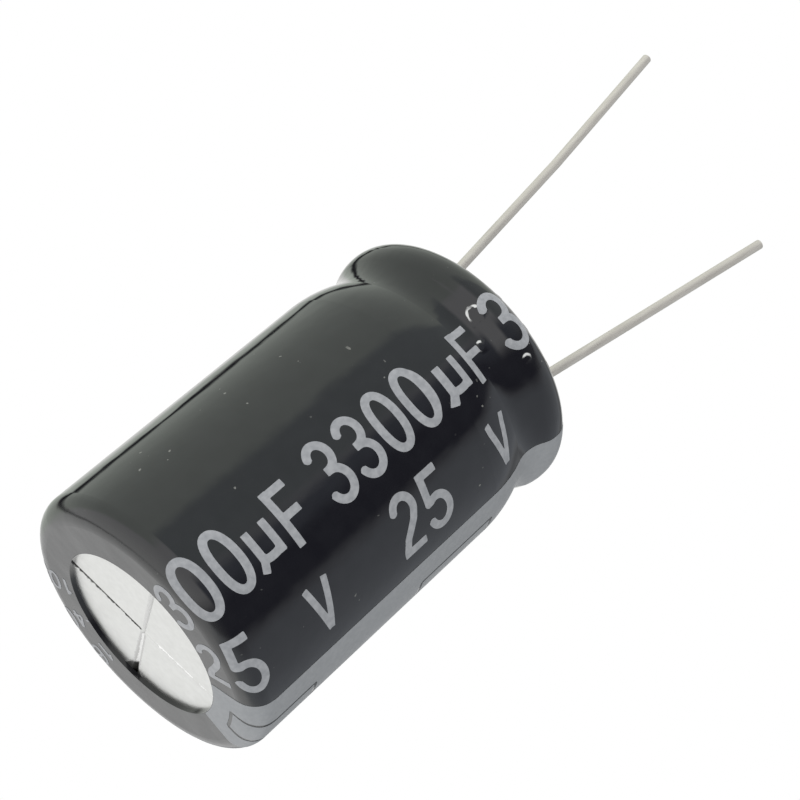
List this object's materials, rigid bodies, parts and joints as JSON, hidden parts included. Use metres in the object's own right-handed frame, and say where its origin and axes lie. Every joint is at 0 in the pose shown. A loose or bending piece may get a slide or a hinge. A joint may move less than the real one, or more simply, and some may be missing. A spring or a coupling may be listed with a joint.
{
  "type": "electrolytic capacitor",
  "caption": "Radial aluminium electrolytic capacitor: round sleeved can with a beaded rim, a scored vent end, a rubber bung and long wire leads.",
  "frame": {"origin": "centre of the vent end, on the plane of the sleeve's lip that the capacitor stands on", "axes": "+Z along the can towards the leads; +X from the can's axis towards the negative lead, which lies under the sleeve's stripe; -X towards the longer positive lead"},
  "size_m": [0.0164, 0.0164, 0.0517],
  "materials": {
    "sleeve": "shrunk sleeve, smooth and glossy, dark grey to black with pale grey print",
    "can": "drawn, bright satin",
    "bung": "moulded, matt black",
    "lead": "tinned copper-clad steel wire, bright satin",
    "tab": "drawn and flattened, satin",
    "anode_foil": "etched and formed, matt grey",
    "cathode_foil": "etched, satin",
    "separator": "absorbent paper, damp",
    "tape": "film tape, satin"
  },
  "bodies": {
    "root": {"sleeve": "sleeve", "can": "can", "bung": "bung", "positive_lead": "lead", "negative_lead": "lead", "positive_tab": "tab", "negative_tab": "tab", "anode_foil": "anode_foil", "cathode_foil": "cathode_foil", "inner_separator": "separator", "outer_separator": "separator", "winding_tape": "tape"}
  },
  "joints": []
}
